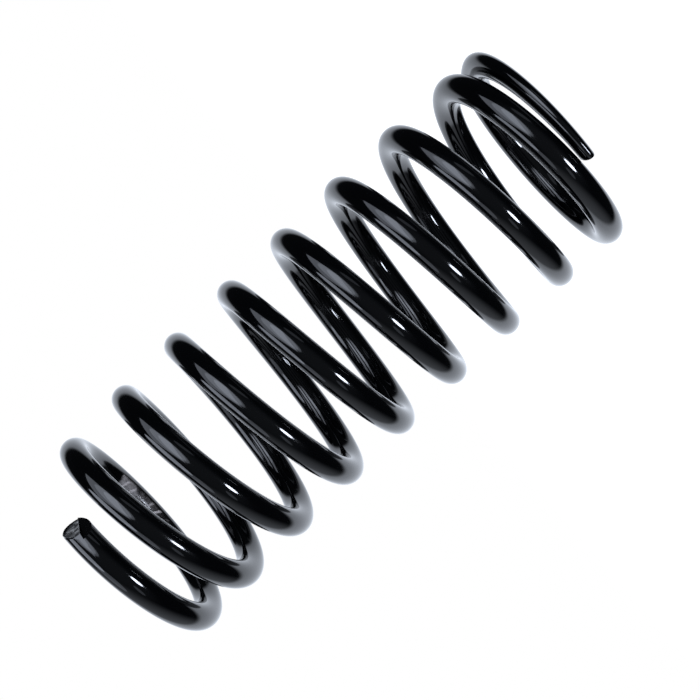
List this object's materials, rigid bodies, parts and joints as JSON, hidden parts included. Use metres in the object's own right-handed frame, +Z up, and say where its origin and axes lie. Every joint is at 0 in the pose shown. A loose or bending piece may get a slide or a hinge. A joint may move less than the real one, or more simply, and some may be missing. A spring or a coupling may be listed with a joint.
{
  "type": "suspension coil spring",
  "caption": "Cylindrical right-hand compression coil spring of round bar in gloss black, with one tapered closed end and one open end, sheared at a slant.",
  "frame": {"origin": "centre of the bounding box's bottom face, in the plane that the closed end stands on", "axes": "+Z up along the coil's axis from the closed end to the open end, -Y towards the side that the picture shows, +X towards the side the slight bow stands out to"},
  "size_m": [0.1298, 0.1174, 0.3026],
  "materials": {
    "gloss_black_coating": "gloss"
  },
  "bodies": {
    "root": {"coil_spring": "gloss_black_coating"}
  },
  "joints": []
}
